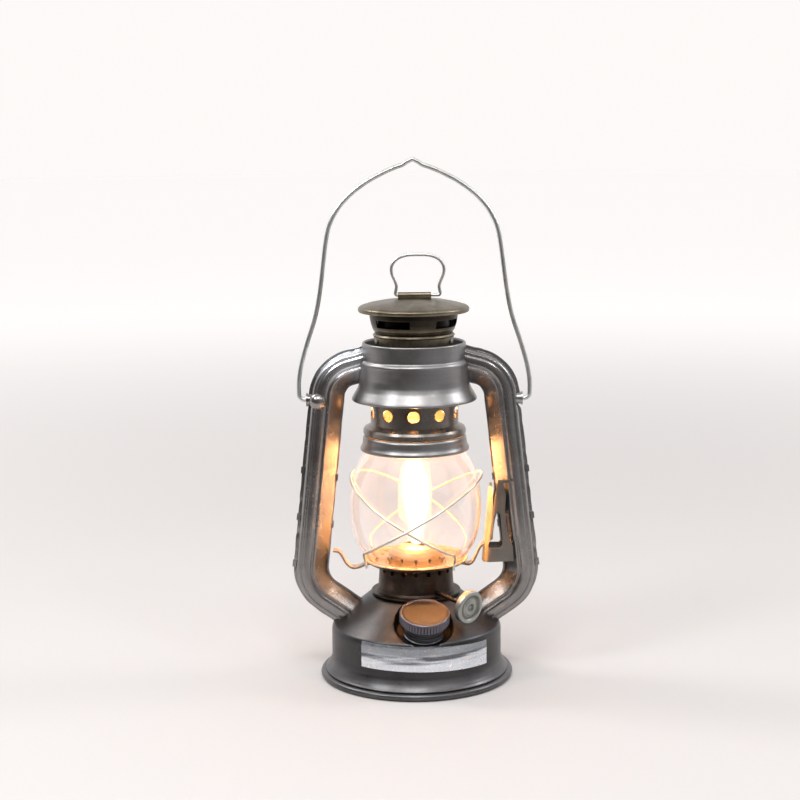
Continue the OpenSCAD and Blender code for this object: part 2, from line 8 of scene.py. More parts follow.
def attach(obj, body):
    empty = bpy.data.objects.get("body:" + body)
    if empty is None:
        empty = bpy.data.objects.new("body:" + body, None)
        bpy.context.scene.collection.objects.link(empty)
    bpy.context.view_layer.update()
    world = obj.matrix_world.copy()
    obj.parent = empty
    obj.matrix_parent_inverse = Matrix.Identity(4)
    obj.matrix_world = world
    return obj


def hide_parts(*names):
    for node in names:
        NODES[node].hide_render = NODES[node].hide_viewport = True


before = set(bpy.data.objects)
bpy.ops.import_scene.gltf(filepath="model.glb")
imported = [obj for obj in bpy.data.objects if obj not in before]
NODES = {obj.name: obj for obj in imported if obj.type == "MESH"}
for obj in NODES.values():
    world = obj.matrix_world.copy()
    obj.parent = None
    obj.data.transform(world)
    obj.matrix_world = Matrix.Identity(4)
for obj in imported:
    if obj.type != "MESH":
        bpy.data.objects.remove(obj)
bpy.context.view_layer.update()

MM = 0.001


# ---------------------------------------------------------------- mesh helpers

def heading(a):
    return Vector((math.cos(math.radians(a)), math.sin(math.radians(a))))


def arc(cx, cy, r, a0, a1, n=12):
    return [(cx + r * math.cos(math.radians(a0 + (a1 - a0) * i / n)),
             cy + r * math.sin(math.radians(a0 + (a1 - a0) * i / n))) for i in range(n + 1)]


def catmull(points, m=8):
    """A smooth curve through the points, each a tuple of any length."""
    out, last = [], len(points) - 1
    for i in range(last):
        a, b, c, d = (Vector(points[max(0, min(last, k))]) for k in (i - 1, i, i + 1, i + 2))
        for j in range(m):
            s = j / m
            out.append(tuple(0.5 * (2 * b + (c - a) * s + (2 * a - 5 * b + 4 * c - d) * s * s
                                    + (3 * b - a - 3 * c + d) * s ** 3)))
    return out + [tuple(points[-1])]


def fillet(points, r, closed=False, n=5, sharper_than=6):
    """Rounds the corners of a 2D path."""
    out, last = [], len(points) - 1
    for i, p in enumerate(points):
        if not closed and i in (0, last):
            out.append(tuple(p))
            continue
        p = Vector(p)
        to_a, to_b = Vector(points[i - 1]) - p, Vector(points[(i + 1) % (last + 1)]) - p
        if to_a.length < 1e-6 or to_b.length < 1e-6:
            continue
        if math.degrees((-to_a).angle(to_b)) < sharper_than:
            out.append(tuple(p))
            continue
        a = p + to_a * min(r / to_a.length, 0.46)
        b = p + to_b * min(r / to_b.length, 0.46)
        for k in range(n + 1):
            t = k / n
            out.append(tuple((1 - t) ** 2 * a + 2 * t * (1 - t) * p + t * t * b))
    return out


def offset(path, t):
    """The path moved to the left of its direction."""
    out, last = [], len(path) - 1
    for i, p in enumerate(path):
        d1 = (Vector(path[max(i, 1)]) - Vector(path[max(i - 1, 0)])).normalized()
        d2 = (Vector(path[min(i + 1, last)]) - Vector(path[min(i, last - 1)])).normalized()
        n1, n2 = Vector((-d1.y, d1.x)), Vector((-d2.y, d2.x))
        q = Vector(p) + (n1 + n2) * (t / max(1 + n1.dot(n2), 0.35))
        out.append((max(q.x, 0), q.y))
    return out


def sheet(path, t, r):
    """Closed section of sheet metal along a path, with soft bends and rounded edges."""
    p = fillet(path, r)
    return fillet(p + offset(p, t)[::-1], abs(t) * 0.42, closed=True, n=3, sharper_than=50)


def shade(mesh, angle=38):
    mesh.shade_smooth()
    mesh.set_sharp_from_angle(angle=math.radians(angle))


def place(obj, mat, body, slot=None, replaces=()):
    obj.data.materials.append(mat)
    bpy.context.scene.collection.objects.link(obj)
    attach(obj, body)
    if replaces:
        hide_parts(*replaces)
    return obj


def piece(name, verts, faces, mat, body, slot=None, replaces=(), angle=38):
    """A mesh piece from points in millimetres."""
    mesh = bpy.data.meshes.new(name)
    mesh.from_pydata([Vector(v) * MM for v in verts], [], faces)
    bm = bmesh.new()
    bm.from_mesh(mesh)
    bmesh.ops.remove_doubles(bm, verts=bm.verts, dist=1e-7)
    bmesh.ops.recalc_face_normals(bm, faces=bm.faces)
    bm.to_mesh(mesh)
    bm.free()
    shade(mesh, angle)
    return place(bpy.data.objects.new(name, mesh), mat, body, slot, replaces)


def lathe(name, loop, mat, body, slot=None, replaces=(), seg=192, matrix=None, change=None, angle=38):
    """A closed section turned about the Z axis. change(point, radius, height, angle) may move a point."""
    verts = []
    for j in range(seg):
        a = math.radians(360.0 * j / seg)
        for r, z in loop:
            p = Vector((r * math.cos(a), r * math.sin(a), z))
            if change:
                p = change(p, r, z, a)
            verts.append(matrix @ p if matrix else p)
    n = len(loop)
    faces = [(j * n + i, j * n + (i + 1) % n, ((j + 1) % seg) * n + (i + 1) % n, ((j + 1) % seg) * n + i)
             for j in range(seg) for i in range(n)]
    return piece(name, verts, faces, mat, body, slot, replaces, angle)


def sweep(name, stations, mat, body, slot=None, replaces=(), angle=38):
    """Closed sections, one list of 3D points for each station, joined into a capped body."""
    n = len(stations[0])
    verts = [p for s in stations for p in s]
    faces = [(j * n + i, j * n + (i + 1) % n, (j + 1) * n + (i + 1) % n, (j + 1) * n + i)
             for j in range(len(stations) - 1) for i in range(n)]
    faces += [tuple(range(n)), tuple((len(stations) - 1) * n + i for i in range(n))]
    return piece(name, verts, faces, mat, body, slot, replaces, angle)


def wire(name, points, radius, mat, body, slot=None, replaces=(), side=None, n=16):
    """Round wire with broken end edges; side(point) gives a direction that never lines up with the wire."""
    side = side or (lambda p: Vector((0, 1, 0)))
    stations, last = [], len(points) - 1
    for i, p in enumerate(points):
        p = Vector(p)
        t = (Vector(points[min(i + 1, last)]) - Vector(points[max(i - 1, 0)])).normalized()
        b = t.cross(side(p)).normalized()
        c = b.cross(t)
        for scale in ((0.55, 1.0) if i == 0 else (1.0, 0.55) if i == last else (1.0,)):
            stations.append([p + (b * math.cos(2 * math.pi * k / n) + c * math.sin(2 * math.pi * k / n))
                             * radius * scale for k in range(n)])
    return sweep(name, stations, mat, body, slot, replaces, 60)


def wobble(p, size, amount, seed=0.0):
    """Smooth pseudo-random shift, the same on every run."""
    return noise.noise(Vector(p) / size + Vector((seed, seed * 0.7, seed * 1.3))) * amount


def basis(x, y, z, origin):
    return Matrix(((x.x, y.x, z.x, origin.x), (x.y, y.y, z.y, origin.y), (x.z, y.z, z.z, origin.z),
                   (0, 0, 0, 1)))


# ---------------------------------------------------------------- materials

class Nodes:
    """Short names for the nodes that every material here is built from."""

    def __init__(self, name):
        self.mat = bpy.data.materials.new(name)
        self.mat.use_nodes = True
        self.tree = self.mat.node_tree
        self.tree.nodes.clear()
        self.out = self.add("ShaderNodeOutputMaterial")
        self.bsdf = self.add("ShaderNodeBsdfPrincipled")
        self.link(self.bsdf.outputs[0], self.out.inputs[0])
        self.coord = self.add("ShaderNodeTexCoord").outputs["Object"]

    def add(self, kind):
        return self.tree.nodes.new(kind)

    def link(self, a, b):
        self.tree.links.new(a, b)

    def feed(self, socket, value):
        if isinstance(value, bpy.types.NodeSocket):
            self.link(value, socket)
        elif value is not None:
            socket.default_value = value

    def set(self, **inputs):
        for key, value in inputs.items():
            self.feed(self.bsdf.inputs[key.replace("_", " ")], value)

    def math(self, op, a, b=None):
        n = self.add("ShaderNodeMath")
        n.operation = op
        for socket, value in zip(n.inputs, (a, b)):
            self.feed(socket, value)
        return n.outputs[0]

    def vec(self, op, a, b=None):
        n = self.add("ShaderNodeVectorMath")
        n.operation = op
        self.feed(n.inputs[0], a)
        if b is not None:
            self.feed(n.inputs[1], b)
        return n.outputs["Value" if op in ("LENGTH", "DOT_PRODUCT") else "Vector"]

    def split(self, v):
        n = self.add("ShaderNodeSeparateXYZ")
        self.link(v, n.inputs[0])
        return n.outputs

    def join(self, x, y, z):
        n = self.add("ShaderNodeCombineXYZ")
        for socket, value in zip(n.inputs, (x, y, z)):
            self.feed(socket, value)
        return n.outputs[0]

    def noise(self, scale, detail=4, rough=0.55, vector=None, distortion=0.0):
        n = self.add("ShaderNodeTexNoise")
        self.link(vector or self.coord, n.inputs["Vector"])
        n.inputs["Scale"].default_value = scale
        n.inputs["Detail"].default_value = detail
        n.inputs["Roughness"].default_value = rough
        n.inputs["Distortion"].default_value = distortion
        return n.outputs["Fac"]

    def span(self, value, a, b, to_a=0.0, to_b=1.0, smooth=False):
        n = self.add("ShaderNodeMapRange")
        if smooth:
            n.interpolation_type = "SMOOTHSTEP"
        self.link(value, n.inputs["Value"])
        for key, v in (("From Min", a), ("From Max", b), ("To Min", to_a), ("To Max", to_b)):
            n.inputs[key].default_value = v
        return n.outputs["Result"]

    def mix(self, fac, a, b):
        n = self.add("ShaderNodeMix")
        n.data_type = "RGBA"
        self.feed(n.inputs["Factor"], fac)
        for socket, value in ((n.inputs[6], a), (n.inputs[7], b)):
            self.feed(socket, (*value, 1) if isinstance(value, tuple) and len(value) == 3 else value)
        return n.outputs[2]

    def ramp(self, fac, *stops):
        n = self.add("ShaderNodeValToRGB")
        self.link(fac, n.inputs[0])
        e = n.color_ramp.elements
        while len(e) < len(stops):
            e.new(0.5)
        for el, (pos, col) in zip(e, stops):
            el.position = pos
            el.color = (*col, 1)
        return n.outputs[0]

    def bump(self, height, distance, strength=1.0, normal=None):
        n = self.add("ShaderNodeBump")
        n.inputs["Strength"].default_value = strength
        n.inputs["Distance"].default_value = distance
        self.link(height, n.inputs["Height"])
        if normal:
            self.link(normal, n.inputs["Normal"])
        return n.outputs[0]

    def about(self, place):
        """Distance from the Z axis of a matrix given in millimetres."""
        axis, origin = place.to_3x3() @ Vector((0, 0, 1)), place.translation * MM
        across = self.vec("CROSS_PRODUCT", self.vec("SUBTRACT", self.coord, tuple(origin)), tuple(axis))
        return self.vec("LENGTH", across)

    def turned(self, fine):
        """Coordinates that vary quickly up and outwards and slowly around, for marks left by spinning."""
        x, y, z = self.split(self.coord)
        out = self.vec("LENGTH", self.join(x, y, 0.0))
        rise = self.math("MULTIPLY", self.math("ADD", z, out), fine)
        return self.join(self.math("MULTIPLY", x, 18.0), self.math("MULTIPLY", y, 18.0), rise)

    def drawn(self, fine):
        """Coordinates that vary slowly along Z, for marks left by drawing."""
        x, y, z = self.split(self.coord)
        return self.join(self.math("MULTIPLY", x, fine), self.math("MULTIPLY", y, fine),
                         self.math("MULTIPLY", z, 25.0))


def metal(name, dark, light, rough=(0.28, 0.45), marks="turned", fine=2600.0, mark_depth=0.00001,
          dents=0.00018, tint=None, speck=0.0, coat=0.0, metallic=1.0, patch=55.0, soot_and_painted_shade=False, centre=None):
    """Sheet metal: mottled tone, spin or draw marks, shallow dents and smudged gloss."""
    m = Nodes(name)
    if centre:
        streaks = m.noise(fine, 3, 0.6, m.join(m.about(centre), 0.0, 0.0))
    else:
        streaks = m.noise(1.0, 5, 0.6, m.turned(fine) if marks == "turned" else m.drawn(fine))
    blotch = m.noise(patch, 6, 0.62, distortion=0.6)
    grain = m.noise(1900.0, 3, 0.6)
    tone = m.math("ADD", m.math("MULTIPLY", blotch, 0.6), m.math("MULTIPLY", streaks, 0.25))
    tone = m.math("ADD", tone, m.math("MULTIPLY", grain, 0.25))
    colour = m.mix(m.span(tone, 0.38, 0.74), dark, light)
    if tint:
        colour = tint(m, colour, blotch)
    if speck:
        spots = m.span(m.noise(420.0, 2, 0.5), 0.66, 0.72)
        colour = m.mix(m.math("MULTIPLY", spots, speck), colour, (0.05, 0.035, 0.025))
    smudge = m.noise(130.0, 5, 0.65)
    gloss = m.math("ADD", m.math("MULTIPLY", smudge, 0.65), m.math("MULTIPLY", grain, 0.35))
    shine, roughness = metallic, m.span(gloss, 0.34, 0.68, rough[0], rough[1])
    if soot_and_painted_shade:
        # inward-facing sheet turns near-black and matt: partly sooty, partly painted shade inside the chimney
        x, y, z = m.split(m.coord)
        facing = m.vec("DOT_PRODUCT", m.vec("NORMALIZE", m.join(x, y, 0.0)),
                       m.add("ShaderNodeNewGeometry").outputs["Normal"])
        inside = m.span(facing, -0.08, -0.02, 1.0, 0.0)
        colour, shine = m.mix(inside, colour, (0.012, 0.011, 0.010)), m.span(inside, 0, 1, metallic, 0.0)
        roughness = m.math("MAXIMUM", roughness, m.math("MULTIPLY", inside, 0.9))
    m.set(Base_Color=colour, Metallic=shine, Roughness=roughness)
    if coat:
        m.bsdf.inputs["Coat Weight"].default_value = coat
        m.bsdf.inputs["Coat Roughness"].default_value = 0.22
    normal = m.bump(m.noise(38.0, 3, 0.5), dents, 0.6)
    normal = m.bump(streaks, mark_depth, 0.7, normal)
    normal = m.bump(grain, mark_depth * 0.7, 0.6, normal)
    m.set(Normal=normal)
    return m.mat


def bronze_tint(m, colour, blotch):
    cloud = m.noise(70.0, 5, 0.6, distortion=1.2)
    return m.ramp(m.math("ADD", m.math("MULTIPLY", cloud, 0.8), m.math("MULTIPLY", blotch, 0.3)),
                  (0.30, (0.10, 0.078, 0.052)), (0.50, (0.165, 0.14, 0.10)), (0.66, (0.23, 0.20, 0.15)),
                  (0.85, (0.31, 0.28, 0.22)))


def tube_tint(m, colour, blotch):
    """Brighter on the crumpled seam of the right tube, and a painted highlight on the left one's top bend."""
    x, y, z = m.split(m.coord)
    along = m.math("ADD", m.math("MULTIPLY", x, 0.76), m.math("MULTIPLY", z, 0.65))
    fold = m.math("MULTIPLY", m.span(along, 0.1262, 0.1280, smooth=True),
                  m.span(x, 0.036, 0.040, smooth=True))
    bits = m.span(m.noise(330.0, 3, 0.7), 0.40, 0.62)
    # painted highlight: a bluish-white patch over the left tube's top bend
    painted_highlight = m.math("MULTIPLY", m.span(z, 0.136, 0.148, smooth=True), m.span(x, -0.026, -0.022, 1.0, 0.0))
    patchy_painted_highlight = m.math("MULTIPLY", painted_highlight, m.span(blotch, 0.34, 0.52, 0.45, 1.0))
    colour = m.mix(patchy_painted_highlight, colour, (0.84, 0.87, 0.92))
    return m.mix(m.math("MULTIPLY", fold, bits), colour, (0.80, 0.80, 0.81))


def basket_tint(m, colour, blotch):
    """The heat tint, with painted shade under the cap's rim, darkest towards the vent slots."""
    # painted shade: darker upwards, under the overhanging cap
    painted_shade_under_cap = m.span(m.split(m.coord)[2], 0.1612, 0.1640, 0.0, 0.85, smooth=True)
    return m.mix(painted_shade_under_cap, bronze_tint(m, colour, blotch), (0.022, 0.018, 0.014))


def sleeve_tint(m, colour, blotch):
    """The heat tint, black on the wind baffle above the sleeve's neck: partly sooty, partly painted shade."""
    # the baffle seen through the vent slots: partly sooty, partly painted shade
    soot_and_painted_shade = m.span(m.split(m.coord)[2], 0.1598, 0.1604)
    return m.mix(soot_and_painted_shade, bronze_tint(m, colour, blotch), (0.006, 0.005, 0.004))


def tank_tint(m, colour, blotch):
    """Painted shade: the wall and cone darker above the foot's roll."""
    # painted shade on the wall and cone, leaving the foot's flare lighter
    wall = m.span(m.split(m.coord)[2], 0.007, 0.011, 0.0, 0.55, smooth=True)
    return m.mix(wall, colour, (0.02, 0.02, 0.021))


def burner_tint(m, colour, blotch):
    cloud = m.noise(90.0, 5, 0.6, distortion=1.0)
    return m.ramp(cloud, (0.32, (0.030, 0.021, 0.016)), (0.55, (0.062, 0.044, 0.034)),
                  (0.8, (0.12, 0.088, 0.07)))


def sooted_and_shaded(name, tint):
    """The chimney's steel, coloured by heat and by the given tint, and near-black inside: partly sooty,
    partly painted shade.
    """
    return metal(name, (0.17, 0.13, 0.09), (0.3, 0.25, 0.18), (0.3, 0.46), fine=1800.0, tint=tint,
                 speck=0.35, dents=0.0001, soot_and_painted_shade=True)


MAT = {
    "tank": metal("tank_steel_dark", (0.075, 0.073, 0.075), (0.16, 0.157, 0.162), (0.32, 0.44), fine=1500.0,
                  dents=0.0001, speck=0.3, tint=tank_tint),
    # darker steel for the filler neck and wick shaft, which sit in recesses: painted shade
    "recess": metal("neck_steel_painted_shade", (0.03, 0.03, 0.033), (0.08, 0.08, 0.085), (0.26, 0.4), dents=0.00008),
    "tube": metal("tube_steel_drawn", (0.20, 0.19, 0.185), (0.35, 0.34, 0.335), (0.18, 0.30), marks="drawn",
                  fine=700.0, dents=0.00014, speck=0.08, metallic=0.9, tint=tube_tint),
    "hood": metal("hood_steel_satin", (0.215, 0.209, 0.209), (0.335, 0.327, 0.327), (0.32, 0.43), fine=2200.0,
                  mark_depth=0.000006, dents=0.0001, speck=0.03, metallic=0.97),
    "collar": metal("collar_steel_warmed", (0.13, 0.112, 0.096), (0.24, 0.218, 0.195), (0.24, 0.36),
                    fine=2200.0, speck=0.3, metallic=0.75, coat=0.2),
    "bronze": sooted_and_shaded("heat_tinted_steel", bronze_tint),
    "basket": sooted_and_shaded("basket_steel_painted_shade", basket_tint),
    "sleeve": sooted_and_shaded("sleeve_steel_soot_and_shade", sleeve_tint),
    "burner": metal("burner_brown", (0.1, 0.07, 0.05), (0.2, 0.14, 0.1), (0.34, 0.5), tint=burner_tint,
                    speck=0.3),
    "plate": metal("plate_steel_warm", (0.22, 0.17, 0.13), (0.36, 0.29, 0.22), (0.26, 0.4), fine=1800.0,
                   speck=0.2, metallic=0.85),
    "lifter": metal("lifter_steel", (0.15, 0.138, 0.125), (0.28, 0.26, 0.235), (0.3, 0.42), marks="drawn",
                    fine=700.0, dents=0.00008, speck=0.15, metallic=0.9),
    "zinc": metal("zinc_plate", (0.28, 0.285, 0.27), (0.44, 0.445, 0.43), (0.28, 0.40), fine=3000.0,
                  dents=0.00005, speck=0.15),
    "wire": metal("galvanised_wire", (0.52, 0.53, 0.51), (0.76, 0.77, 0.75), (0.30, 0.44), fine=900.0,
                  dents=0.00006, speck=0.2, patch=160.0),
    "brass": metal("wick_brass_dull", (0.30, 0.22, 0.11), (0.48, 0.37, 0.19), (0.3, 0.45), dents=0.00006,
                   speck=0.3),
}


# ---------------------------------------------------------------- oil tank

FOOT_R, WALL_R, SHOULDER, SEAT_Z, SEAT_R = 44.6, 39.3, 24.4, 38.6, 21.0
FILLER_R, TURN, LEAN, SEAT_DEPTH, WELL_R, WELL_SHIFT = 30.0, 6.7, 19.0, 4.2, 12.6, 1.6
slope = (SEAT_Z - SHOULDER) / (WALL_R - 0.9 - SEAT_R)
filler_z = SEAT_Z - (FILLER_R - SEAT_R) * slope
filler = (Matrix.Rotation(math.radians(TURN), 4, "Z") @ Matrix.Translation((0, -FILLER_R, filler_z))
          @ Matrix.Rotation(math.radians(LEAN), 4, "X") @ Matrix.Translation((0, 0, -SEAT_DEPTH)))
to_filler = filler.inverted()


def stamped(p, r, z, a):
    """Presses the filler recess into the tank's cone and adds the slight unevenness of spun sheet."""
    if z > 20 and r > 15:
        q = to_filler @ p
        far = math.hypot(q.x, q.y - WELL_SHIFT)
        if far < WELL_R + 3 and q.z > 0:
            edge = max(0.0, min(1.0, (WELL_R + 1.0 - far) / 1.6))
            edge = edge * edge * (3 - 2 * edge)
            q.z *= 1 - edge
            p = filler @ q
    if 5 < z < 38:
        out = Vector((p.x, p.y, 0)).normalized()
        p = p + out * wobble(p, 17.0, 0.09, 3.0)
    return p


STEPS = 46
cone = [(WALL_R - 0.4 - (WALL_R - 0.9 - SEAT_R) * i / STEPS,
         SHOULDER + 0.2 + (SEAT_Z - SHOULDER - 0.2) * i / STEPS) for i in range(1, STEPS)]
wall = [(FOOT_R - 2.6, 3.4), (FOOT_R - 2.1, 3.7), (FOOT_R - 3.0, 4.7), (FOOT_R - 4.1, 6.4),
        (WALL_R + 0.1, 9.0), (WALL_R, 10.4), (WALL_R, 16.0), (WALL_R, SHOULDER - 1.7),
        (WALL_R - 0.45, SHOULDER - 0.25)]
tank_path = fillet(wall, 1.5, n=7) + cone + [(SEAT_R, SEAT_Z), (13.4, SEAT_Z)]
lathe("tank_body", fillet(tank_path + offset(tank_path, 0.6)[::-1], 0.25, closed=True, n=2, sharper_than=50),
      MAT["tank"], "frame", "tank_steel", ("tank_shell", "filler_seat"), seg=320, change=stamped)

base = (fillet([(0.0, 1.4), (FOOT_R - 5.2, 1.4), (FOOT_R - 4.2, 0.0), (FOOT_R - 1.5, 0.0)], 0.6)
        + arc(FOOT_R - 1.6, 1.7, 1.6, -60, 95, 14) + [(FOOT_R - 2.6, 3.4), (FOOT_R - 3.2, 2.2), (0.0, 2.2)])
lathe("tank_base", base, MAT["tank"], "frame", "tank_steel", ("tank_bottom",), seg=256)


LABEL_FROM, LABEL_SWEEP = -128.9, 92.2


def label():
    """Blank foil label, slightly creased, wrapped round the wall and just over the shoulder."""
    m = Nodes("blank_foil")
    wrinkle = m.noise(75.0, 3, 0.5, m.vec("MULTIPLY", m.coord, (1.0, 1.0, 2.2)))
    x, y, z = m.split(m.coord)
    # stripes stretched round the wall: streaks for the printed bars, partly painted reflection
    bars_and_painted_reflection = m.noise(1.0, 3, 0.55, m.join(m.math("MULTIPLY", x, 30.0), m.math("MULTIPLY", y, 30.0),
                                       m.math("MULTIPLY", z, 330.0)))
    upper = m.span(z, 0.0190, 0.0202, 0.0, 1.0, smooth=True)
    lower = m.span(z, 0.0150, 0.0162, 1.0, 0.0, smooth=True)
    colour = m.mix(m.span(bars_and_painted_reflection, 0.44, 0.56), (0.13, 0.14, 0.155), (0.70, 0.73, 0.78))
    colour = m.mix(m.math("MULTIPLY", lower, 0.85), colour, (0.82, 0.86, 0.92))
    colour = m.mix(m.math("MULTIPLY", upper, 0.9), colour, (0.30, 0.32, 0.35))
    m.set(Base_Color=colour, Metallic=0.75, Roughness=m.span(m.noise(300.0, 4), 0.35, 0.65, 0.2, 0.36),
          Normal=m.bump(wrinkle, 0.0006, 0.5))
    nu, nv, rows = 120, 18, []
    for skin in (0.06, 0.2):
        for j in range(nv + 1):
            v = j / nv
            for i in range(nu + 1):
                u = i / nu
                a = math.radians(LABEL_FROM + LABEL_SWEEP * u)
                z = 12.7 - 1.2 * u ** 1.5 + (11.7 - 0.7 * u) * v
                r = WALL_R + skin
                if z > SHOULDER - 1.9:
                    r -= (z - SHOULDER + 1.9) ** 2 * 0.16
                lift = max(0.0, max(abs(u - 0.5) * 2, abs(v - 0.5) * 2) - 0.86) * 0.35
                r += (abs(wobble((a * 40, z * 1.5, 0), 4.0, 0.14))
                      + lift * (0.4 + wobble((a * 30, z, 5), 6.0, 0.6)))
                rows.append((r * math.cos(a), r * math.sin(a), z))

    def at(s, j, i):
        return s * (nv + 1) * (nu + 1) + j * (nu + 1) + i

    faces = [(at(s, j, i), at(s, j, i + 1), at(s, j + 1, i + 1), at(s, j + 1, i))
             for s in (0, 1) for j in range(nv) for i in range(nu)]
    rim = ([(0, i) for i in range(nu)] + [(j, nu) for j in range(nv)] + [(nv, i) for i in range(nu, 0, -1)]
           + [(j, 0) for j in range(nv, 0, -1)])
    faces += [(at(0, *here), at(0, *after), at(1, *after), at(1, *here))
              for here, after in zip(rim, rim[1:] + rim[:1])]
    piece("foil_label", rows, faces, m.mat, "frame", "foil", ("label_plate",))


label()


# ---------------------------------------------------------------- filler

NECK_R, BORE_R, NECK_H, CAP_R, CAP_H, GASKET, PITCH = 9.25, 8.25, 9.2, 11.3, 4.8, 1.2, 2.2
neck = [(BORE_R, -3.0), (BORE_R + 0.69, -3.0), (BORE_R + 0.69, 0.0), (NECK_R + 0.25, 0.0),
        (NECK_R - 0.45, 0.5)]
for i in range(3):
    neck += [(NECK_R - 0.45, 0.55 + i * PITCH), (NECK_R, 1.05 + i * PITCH), (NECK_R, 1.55 + i * PITCH),
             (NECK_R - 0.45, 2.1 + i * PITCH)]
neck += [(NECK_R - 0.45, NECK_H), (BORE_R, NECK_H)]
lathe("filler_neck_threads", fillet(neck, 0.35, closed=True, n=4), MAT["recess"], "frame", "seat_steel",
      ("filler_neck",), seg=128, matrix=filler)

cap_place = filler @ Matrix.Translation((0, 0, NECK_H + GASKET))


def knurled(p, r, z, a):
    depth = max(0.0, min(1.0, (r - CAP_R + 0.9) / 0.7)) * max(0.0, min(1.0, (0.55 - z) / 0.5))
    depth *= max(0.0, min(1.0, (z - 1.35 + CAP_H) / 0.4))
    groove = abs(math.sin(24 * a)) ** 0.7
    return Vector((p.x, p.y, 0)) * (1 - 0.05 * depth * (1 - groove)) + Vector((0, 0, p.z))


cap = ([(0.0, 0.0), (NECK_R + 0.1, 0.0), (NECK_R + 0.1, 1 - CAP_H), (CAP_R - 0.35, 1 - CAP_H),
        (CAP_R, 1.35 - CAP_H)] + [(CAP_R, 1.35 - CAP_H + 0.3 * i) for i in range(1, 9)]
       + [(CAP_R, 0.15), (CAP_R - 0.12, 0.62), (CAP_R - 0.7, 1.0), (CAP_R - 1.25, 0.92), (CAP_R - 1.75, 0.62)]
       + [(r, 0.28 + 0.3 * (r / 9.5) ** 2) for r in (9.0, 8.0, 6.5, 5.0, 3.5, 2.0, 1.0)] + [(0.0, 0.28)])
tin = metal("cap_tinplate_brushed", (0.105, 0.098, 0.115), (0.185, 0.172, 0.20), (0.28, 0.38), fine=2600.0,
            mark_depth=0.000012, dents=0.00005, centre=cap_place)
lathe("filler_cap_knurled", fillet(cap, 0.28, closed=True, n=4), tin, "cap_shell", "tinplate",
      ("filler_cap",), seg=480, matrix=cap_place, change=knurled, angle=30)


# ---------------------------------------------------------------- wick knob

SHAFT_TURN, SHAFT_SLOPE, SHAFT_OFF, SHAFT_Z, KNOB_OUT, KNOB_R = 46.0, 8.0, -3.3, 44.6, 37.6, 7.7
shaft = (Matrix.Rotation(math.radians(-SHAFT_TURN), 4, "Z") @ Matrix.Translation((0, SHAFT_OFF, SHAFT_Z))
         @ Matrix.Rotation(math.radians(SHAFT_SLOPE), 4, "Y"))
knob_place = shaft @ Matrix.Translation((KNOB_OUT, 0, 0)) @ Matrix.Rotation(math.radians(90), 4, "Y")
knob = [(1.0, -1.4), (2.2, -1.4), (2.4, 0.0), (KNOB_R - 1.5, 0.0), (KNOB_R - 1.1, -1.6),
        (KNOB_R - 0.4, -1.68), (KNOB_R, -1.1), (KNOB_R, 0.9), (KNOB_R - 0.3, 1.55), (KNOB_R - 1.0, 1.8),
        (KNOB_R - 1.7, 1.72), (KNOB_R - 2.3, 1.05), (KNOB_R - 3.0, 0.95), (3.9, 1.1), (3.3, 1.55),
        (2.6, 1.72), (1.8, 1.6), (1.2, 1.0), (0.0, 0.85), (0.0, 0.0), (1.0, 0.0)]


def grooves(m, colour, blotch):
    """Painted shade along the two grooves of the knob's face."""
    out = m.about(knob_place)

    def groove(radius, core, fade):
        away = m.math("ABSOLUTE", m.math("SUBTRACT", out, radius))
        return m.math("SUBTRACT", 1.0, m.span(away, core, fade))

    outer, inner = groove(0.00505, 0.0004, 0.0011), groove(0.0013, 0.0003, 0.0008)
    # painted shade: darker rings over the two grooves
    painted_shade_depth = m.math("MULTIPLY", m.math("MAXIMUM", outer, inner), 0.75)
    return m.mix(painted_shade_depth, colour, (0.10, 0.10, 0.088))


knob_zinc = metal("knob_zinc", (0.27, 0.28, 0.255), (0.42, 0.43, 0.40), (0.3, 0.42), fine=1800.0,
                  dents=0.00004, mark_depth=0.000008, tint=grooves, metallic=0.9, centre=knob_place)
lathe("wick_knob_disc", fillet(knob, 0.4, closed=True, n=4), knob_zinc, "wick_drive", "zinc", ("wick_knob",),
      seg=128, matrix=knob_place)


# ---------------------------------------------------------------- globe and guards

PLATE_Z, PLATE_R = 53.6, 24.1
outline = [(22.4, 55.4), (23.4, 57), (25.8, 60.2), (28.3, 65), (29.9, 71.5), (30.6, 80), (30.0, 87.5),
           (28.6, 94.5), (26, 100.6), (23.4, 105), (22.6, 108.6)]
glass_line = catmull(outline, 7)


def glass_radius(z):
    for (r0, z0), (r1, z1) in zip(glass_line, glass_line[1:]):
        if z0 <= z <= z1:
            return r0 + (r1 - r0) * (z - z0) / max(z1 - z0, 1e-6)
    return glass_line[0][0] if z < glass_line[0][1] else glass_line[-1][0]


